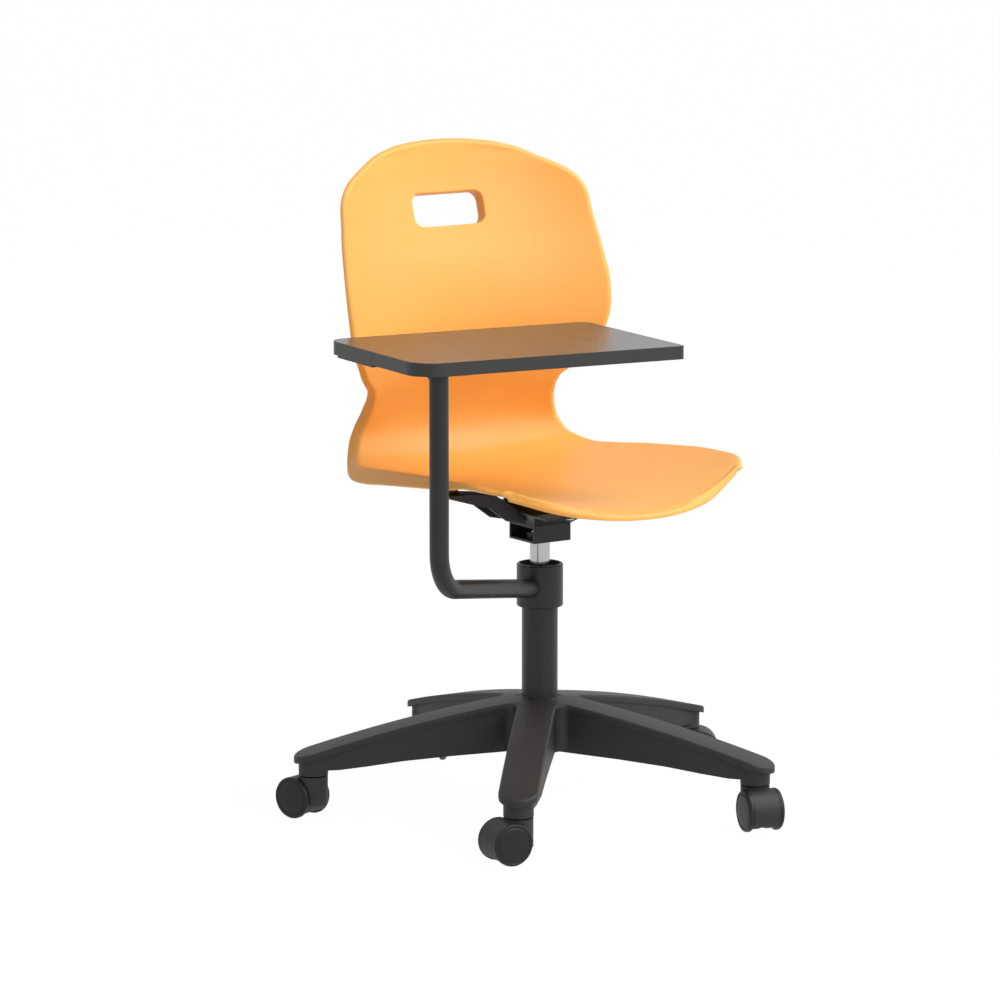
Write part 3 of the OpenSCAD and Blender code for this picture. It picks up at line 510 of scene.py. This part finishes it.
    inner_front, where = web(GRIP_FILLET, 0, frame_ids)
    _, way = slot_line(count, 0)
    way3 = way[:, :1] * np.array([[1.0, 0, 0]]) + way[:, 1:] * up[None, :]
    last_ring = inner_front
    for a in np.radians([18, 36, 54, 72, 90]):
        new = ring(where - GRIP_FILLET * (math.sin(a) * way3 + (1 - math.cos(a)) * deep))
        join(last_ring, new)
        last_ring = new
    for grow, depth in [(0, 8), (0, GRIP_DEEP - 1.2), (0.35, GRIP_DEEP - 0.35), (1.2, GRIP_DEEP),
                        (GRIP_LIP - 1.2, GRIP_DEEP), (GRIP_LIP - 0.35, GRIP_DEEP - 0.35),
                        (GRIP_LIP, GRIP_DEEP - 1.2), (GRIP_LIP, 9.5)]:
        line, _ = slot_line(count, grow)
        new = ring(centre + line[:, :1] * np.array([[1.0, 0, 0]]) + line[:, 1:] * up[None, :] - depth * deep)
        join(last_ring, new)
        last_ring = new
    inner_back, where = web(GRIP_LIP + LIP_ROOT, SHELL_T, [back + k for k in frame_ids])
    for a in np.radians([0, 30, 60]):
        new = ring(where - LIP_ROOT * (math.cos(a) * way3 + (1 - math.sin(a)) * deep))
        join(last_ring, new)
        last_ring = new
    join(last_ring, inner_back)
    return points, faces


def tube_ring(centre, radius, count, z):
    return [(centre[0] + radius * math.cos(2 * math.pi * k / count),
             centre[1] + radius * math.sin(2 * math.pi * k / count), z) for k in range(count)]


# Place, foot and head of each boss; the heads end inside the moulding
BOSSES = [(-148, 0, 462, 469), (148, 0, 462, 469), (0, -72, 442, 453), (0, 72, 442, 450)]
BOSS_R, BOSS_BORE, BOSS_DEEP, BOSS_SOFT = 10.0, 3.0, 6.5, 0.6


def shell_bosses(points, faces):
    """Four blind bosses that take the seat screws, sunk a little into the moulding."""
    for x, y, z0, z1 in BOSSES:
        first = len(points)
        profile = [(BOSS_BORE, z0 + BOSS_DEEP), (BOSS_BORE, z0), (BOSS_R - BOSS_SOFT, z0),
                   (BOSS_R, z0 + BOSS_SOFT), (BOSS_R, z1)]
        for r, z in profile:
            points.extend(tube_ring((x, y), r, 32, z))
        for level in range(len(profile) - 1):
            for k in range(32):
                m = (k + 1) % 32
                a, b = first + level * 32, first + (level + 1) * 32
                faces.append((a + k, b + k, b + m, a + m))
        faces.append(tuple(first + k for k in range(32)))
        faces.append(tuple(first + 4 * 32 + k for k in range(32)))


shell_points, shell_faces = seat_shell()
shell_bosses(shell_points, shell_faces)
shell = new_piece("seat_moulding", [np.array(p) * MM for p in shell_points], shell_faces,
                  "shell_plastic", "seat", ["seat_shell"])


# Base star: caps with rounded edges, over the part's own walls, ribs and necks
LEG_W, CIRCLE, FILLET, CAP_T, LEG_COUNT, LEG_TURN = 54, 321, 15, 10, 5, 14.5
LEG_ARC, LEG_ARC_MID, HUB_TOP = 2300, -297, 156
HUB_R = 26                             # the column's socket starts inside this
CAP_SOFT = 3.0                         # rounding of a cap's upper edge
TUCK_TOP, TUCK_FOOT, TUCK_SIDE = 1.5, 0.6, 0.8  # how far the plain caps draw in under the rounded ones


def leg_top(x):
    """Height of a leg's top at a distance along the leg."""
    start = HUB_TOP + 2 - math.sqrt(LEG_ARC**2 - (25 - LEG_ARC_MID)**2)
    return start + np.sqrt(LEG_ARC**2 - (np.asarray(x, float) - LEG_ARC_MID)**2)


def leg_side(inset):
    """Plan of a cap's right half, drawn in by an inset: fillet, straight side and half of the round tip."""
    half = math.pi / LEG_COUNT
    off = LEG_W / 2 + FILLET
    corner = np.array([off / math.tan(half), -off])
    line = [corner + (FILLET + inset) * np.array([math.cos(a), math.sin(a)])
            for a in np.linspace(math.pi - half, math.pi / 2, 9)]
    line += [np.array([x, inset - LEG_W / 2]) for x in np.linspace(corner[0], CIRCLE, 24)[1:]]
    line += [np.array([CIRCLE, 0]) + (LEG_W / 2 - inset) * np.array([math.cos(a), math.sin(a)])
             for a in np.linspace(-math.pi / 2, 0, 13)[1:]]
    return np.array(line)


def base_caps():
    """The five caps as one closed skin: rings round the star, with rungs across each leg and a filled hub."""
    rounds = [(CAP_SOFT * (1 - math.cos(a)), CAP_SOFT * (1 - math.sin(a)))
              for a in np.linspace(0, math.pi / 2, 7)]
    profile = [(CAP_SOFT, CAP_T), (0.9, CAP_T), (0.25, CAP_T - 0.25), (0, CAP_T - 0.9)] + rounds
    points, faces, rings = [], [], []
    for inset, drop in profile:
        side = leg_side(inset)
        n = len(side)
        one_leg = np.vstack([side, side[-2:0:-1] * [1, -1]])
        height = leg_top(one_leg[:, 0]) - drop
        first = len(points)
        for k in range(LEG_COUNT):
            a = math.radians(LEG_TURN + 360 / LEG_COUNT * k)
            turned = one_leg @ np.array([[math.cos(a), math.sin(a)], [-math.sin(a), math.cos(a)]])
            points.extend(np.column_stack([turned, height]))
        rings.append(list(range(first, len(points))))
    size = 2 * n - 2
    for low, high in zip(rings, rings[1:]):
        for k in range(len(low)):
            m = (k + 1) % len(low)
            faces.append((low[k], low[m], high[m], high[k]))
    for ring, drop in ((rings[0], CAP_T), (rings[-1], 0)):
        hub = len(points)
        for k in range(LEG_COUNT):
            a = math.radians(LEG_TURN + 360 / LEG_COUNT * (k - 0.5))
            points.append(np.array([20 * math.cos(a), 20 * math.sin(a), leg_top(20) - drop]))
        faces.append(tuple(range(hub, hub + LEG_COUNT)))
        for k in range(LEG_COUNT):
            def rail(j, far=False, k=k):
                return ring[(k * size + (size - j if far else j)) % len(ring)]
            for j in range(n - 2):
                faces.append((rail(j), rail(j + 1), rail(j + 1, True), rail(j, True)))
            faces.append((rail(n - 2), rail(n - 1), rail(n - 2, True)))
            faces.append((hub + k, rail(0), rail(0, True), hub + (k + 1) % LEG_COUNT))
    return points, faces


def base_body():
    """The part's own base, with its plain caps drawn in under the rounded ones."""
    source = bmesh.new()
    source.from_mesh(nodes["base_star"].data)
    bmesh.ops.remove_doubles(source, verts=source.verts, dist=1e-6)
    sector = 360 / LEG_COUNT
    for v in source.verts:
        x, y, z = v.co / MM
        turn = math.radians((math.degrees(math.atan2(y, x)) - LEG_TURN + sector / 2) % sector - sector / 2)
        r = math.hypot(x, y)
        top = float(leg_top(r * math.cos(turn)))
        if z > top - CAP_T - 1.2 and r > HUB_R:
            v.co.z += (-TUCK_TOP if z > top - CAP_T / 2 else TUCK_FOOT) * MM
            along, across = r * math.cos(turn), r * math.sin(turn)
            away = None
            if along > CIRCLE:
                if math.hypot(along - CIRCLE, across) > LEG_W / 2 - 1:
                    away = math.atan2(y, x)
            elif abs(across) > LEG_W / 2 - 1:
                away = math.atan2(y, x) - turn + math.copysign(math.pi / 2, across)
            if away is not None:
                v.co.x -= TUCK_SIDE * MM * math.cos(away)
                v.co.y -= TUCK_SIDE * MM * math.sin(away)
    points = [v.co / MM for v in source.verts]
    source.verts.index_update()
    faces = [tuple(v.index for v in f.verts) for f in source.faces]
    source.free()
    return points, faces


def joined(*shells):
    """Several closed skins as one list of points and faces."""
    points, faces = [], []
    for more, skins in shells:
        first = len(points)
        points.extend(more)
        faces.extend(tuple(first + k for k in f) for f in skins)
    return points, faces


base_points, base_faces = joined(base_caps(), base_body())
new_piece("base_moulding", [np.array(p) * MM for p in base_points], base_faces,
          "black_plastic", "base", ["base_star"])


# Casters' wheels: half a profile in millimetres, turned by a node tree and set on every axle
WHEEL_R, DRUM_R, AXLE_BORE, WHEEL_IN, WHEEL_OUT, FLANK, FACE_T = 29, 25.8, 3.05, 5.3, 26, 7, 4
FLANK_IN = WHEEL_OUT - FLANK
WHEEL_SOFT = 0.5  # rounding of every corner of the profile
# From the blind bore, over the drum and the tread, to the middle of the dished face: radius and height
WHEEL_PROFILE = [
    (0, WHEEL_OUT - FACE_T), (AXLE_BORE, WHEEL_OUT - FACE_T), (AXLE_BORE, WHEEL_IN),
    (AXLE_BORE + 3.5, WHEEL_IN), (AXLE_BORE + 3.5, FLANK_IN - 2), (DRUM_R - 3, FLANK_IN - 2),
    (DRUM_R - 3, WHEEL_IN), (DRUM_R, WHEEL_IN), (DRUM_R, FLANK_IN), (WHEEL_R, FLANK_IN),
    (WHEEL_R, WHEEL_OUT - 3), (WHEEL_R - 1, WHEEL_OUT - 1.2), (WHEEL_R - 3.4, WHEEL_OUT - 0.4),
    (WHEEL_R - 4.4, WHEEL_OUT - 1.4), (WHEEL_R - 5.6, WHEEL_OUT - 1.4), (WHEEL_R - 7, WHEEL_OUT - 0.3),
    (WHEEL_R / 3, WHEEL_OUT), (0, WHEEL_OUT)]


def turning_tree():
    """Spins an open profile, drawn out from the Z axis, into a closed solid with soft edges."""
    tree = bpy.data.node_groups.new("turned_profile", "GeometryNodeTree")
    tree.interface.new_socket("Geometry", in_out="INPUT", socket_type="NodeSocketGeometry")
    for name, kind in (("Edge Round", "NodeSocketFloat"), ("Spindle", "NodeSocketFloat"),
                       ("Segments", "NodeSocketInt"), ("Finish", "NodeSocketMaterial")):
        tree.interface.new_socket(name, in_out="INPUT", socket_type=kind)
    tree.interface.new_socket("Geometry", in_out="OUTPUT", socket_type="NodeSocketGeometry")
    inputs = tree.nodes.new("NodeGroupInput")

    def step(kind, links, **settings):
        node = tree.nodes.new(kind)
        for key, value in settings.items():
            setattr(node, key, value)
        for slot, source in links.items():
            if isinstance(source, bpy.types.NodeSocket):
                tree.links.new(source, node.inputs[slot])
            else:
                node.inputs[slot].default_value = source
        return node

    line = step("GeometryNodeMeshToCurve", {"Mesh": inputs.outputs["Geometry"]})
    soft = step("GeometryNodeFilletCurve",
                {"Curve": line.outputs[0], "Radius": inputs.outputs["Edge Round"], "Count": 3,
                 "Limit Radius": True}, mode="POLY")
    path = step("GeometryNodeCurvePrimitiveCircle",
                {"Resolution": inputs.outputs["Segments"], "Radius": inputs.outputs["Spindle"]})
    spun = step("GeometryNodeCurveToMesh", {"Curve": path.outputs[0], "Profile Curve": soft.outputs[0]})
    shut = step("GeometryNodeMergeByDistance", {"Geometry": spun.outputs[0], "Distance": 2e-6})
    real = step("GeometryNodeRealizeInstances", {"Geometry": shut.outputs[0]})
    dyed = step("GeometryNodeSetMaterial", {"Geometry": real.outputs[0], "Material": inputs.outputs["Finish"]})
    out = tree.nodes.new("NodeGroupOutput")
    tree.links.new(dyed.outputs[0], out.inputs[0])
    return tree


def turned(name, profile, finish, edge_round, segments=72, spindle=0.5):
    """Points and faces of a profile spun round the Z axis, in millimetres; the tree turns its height over."""
    mesh = bpy.data.meshes.new(name)
    mesh.from_pydata([((r - spindle) * MM, -z * MM, 0) for r, z in profile],
                     [(k, k + 1) for k in range(len(profile) - 1)], [])
    blank = bpy.data.objects.new(name, mesh)
    bpy.context.scene.collection.objects.link(blank)
    lathe = blank.modifiers.new("lathe", "NODES")
    lathe.node_group = tree = turning_tree()
    sizes = {"Edge Round": edge_round * MM, "Spindle": spindle * MM, "Segments": segments, "Finish": finish}
    for socket in tree.interface.items_tree:
        if socket.in_out == "INPUT" and socket.name in sizes:
            lathe[socket.identifier] = sizes[socket.name]
    ready = blank.evaluated_get(bpy.context.evaluated_depsgraph_get())
    solid = bpy.data.meshes.new_from_object(ready)
    points = np.array([v.co / MM for v in solid.vertices])
    faces = [tuple(f.vertices) for f in solid.polygons]
    bpy.data.objects.remove(blank)
    bpy.data.meshes.remove(solid)
    return points, faces


def wheels():
    """The ten wheels, each on its own axle and facing out from its hood."""
    points, faces = turned("wheel_profile", WHEEL_PROFILE, FINISHES["wheel_plastic"], WHEEL_SOFT)
    for joint in frame["record"]["behaviour"]["joints"]:
        if not joint["name"].startswith("roll_"):
            continue
        caster, side = joint["name"][len("roll_"):]
        node = f"caster_{caster}_wheel_{side}"
        pivot, axle = Vector(joint["pos_m"]), Vector(joint["axis"])
        corners = [Vector(c) for c in nodes[node].bound_box]
        middle = sum(corners, Vector()) / 8
        out = axle if (middle - pivot).dot(axle) > 0 else -axle
        turn = out.to_track_quat("Z", "Y")
        placed = [pivot + turn @ (Vector(p) * MM) for p in points]
        new_piece(node.replace("wheel", "tyre"), placed, faces, "wheel_plastic",
                  f"wheel_{caster}{side}", [node], crease=35)


wheels()


# Floor, light and camera
def white_stage(name, shade, mix):
    """A pale surface that is plain white to the eye and in reflections, and still takes a faint shadow."""
    m = Finish(name, Roughness=0.9, Base_Color=(shade, shade, shade))
    path = m.tree.nodes.new("ShaderNodeLightPath")
    seen = Wire(m.tree, path.outputs["Is Camera Ray"])
    for ray in ("Is Glossy Ray", "Is Transmission Ray"):
        seen = seen.above(Wire(m.tree, path.outputs[ray]))
    glow = m.tree.nodes.new("ShaderNodeEmission")
    glow.inputs["Strength"].default_value = 1.03
    both = m.tree.nodes.new("ShaderNodeMixShader")
    connect(m.tree, both.inputs[0], seen * mix)
    m.tree.links.new(m.shader.outputs[0], both.inputs[1])
    m.tree.links.new(glow.outputs[0], both.inputs[2])
    out = next(n for n in m.tree.nodes if n.type == "OUTPUT_MATERIAL")
    m.tree.links.new(both.outputs[0], out.inputs[0])
    return m.material


def floor():
    mesh = bpy.data.meshes.new("floor")
    far = 30.0
    mesh.from_pydata([(-far, -far, 0), (far, -far, 0), (far, far, 0), (-far, far, 0)], [], [(0, 1, 2, 3)])
    mesh.materials.append(white_stage("floor_white", 0.8, 0.95))
    plane = bpy.data.objects.new("floor", mesh)
    bpy.context.scene.collection.objects.link(plane)


def world_light(strength):
    world = bpy.data.worlds.new("studio")
    bpy.context.scene.world = world
    world.use_nodes = True
    tree = world.node_tree
    tree.nodes.clear()
    path = tree.nodes.new("ShaderNodeLightPath")
    seen = Wire(tree, path.outputs["Is Camera Ray"])
    for ray in ("Is Glossy Ray", "Is Transmission Ray"):
        seen = seen.above(Wire(tree, path.outputs[ray]))
    back = tree.nodes.new("ShaderNodeBackground")
    back.inputs["Color"].default_value = (1, 1, 1, 1)
    connect(tree, back.inputs["Strength"], seen * (1 - strength) + strength)
    out = tree.nodes.new("ShaderNodeOutputWorld")
    tree.links.new(back.outputs[0], out.inputs[0])


def softbox(name, place, target, size, power):
    lamp = bpy.data.lights.new(name, "AREA")
    lamp.shape = "DISK"
    lamp.size = size
    lamp.energy = power
    obj = bpy.data.objects.new(name, lamp)
    obj.location = place
    obj.rotation_mode = "QUATERNION"
    obj.rotation_quaternion = (Vector(target) - Vector(place)).to_track_quat("-Z", "Y")
    bpy.context.scene.collection.objects.link(obj)


floor()
world_light(0.36)
softbox("top_softbox", (1.5, -1.3, 3.0), (0, 0, 0.5), 2.2, 72)
softbox("key_softbox", (0.6, -4.2, 2.7), (0, 0, 0.6), 2.2, 70)
softbox("fill_softbox", (3.2, -1.6, 1.8), (0, 0, 0.5), 2.2, 18)

camera = bpy.data.objects.new("camera", bpy.data.cameras.new("camera"))
bpy.context.scene.collection.objects.link(camera)
camera.data.lens = 171.7
camera.data.sensor_width = 36
camera.data.clip_end = 60
camera.location = (-3.687, -5.365, 1.5436)
PITCH, TURN = math.radians(9.673), math.radians(55.50 + 0.489)
camera.rotation_mode = "QUATERNION"
camera.rotation_quaternion = Vector((
    math.cos(TURN) * math.cos(PITCH), math.sin(TURN) * math.cos(PITCH), -math.sin(PITCH))).to_track_quat("-Z", "Y")
bpy.context.scene.camera = camera
bpy.context.scene.view_settings.view_transform = "Standard"
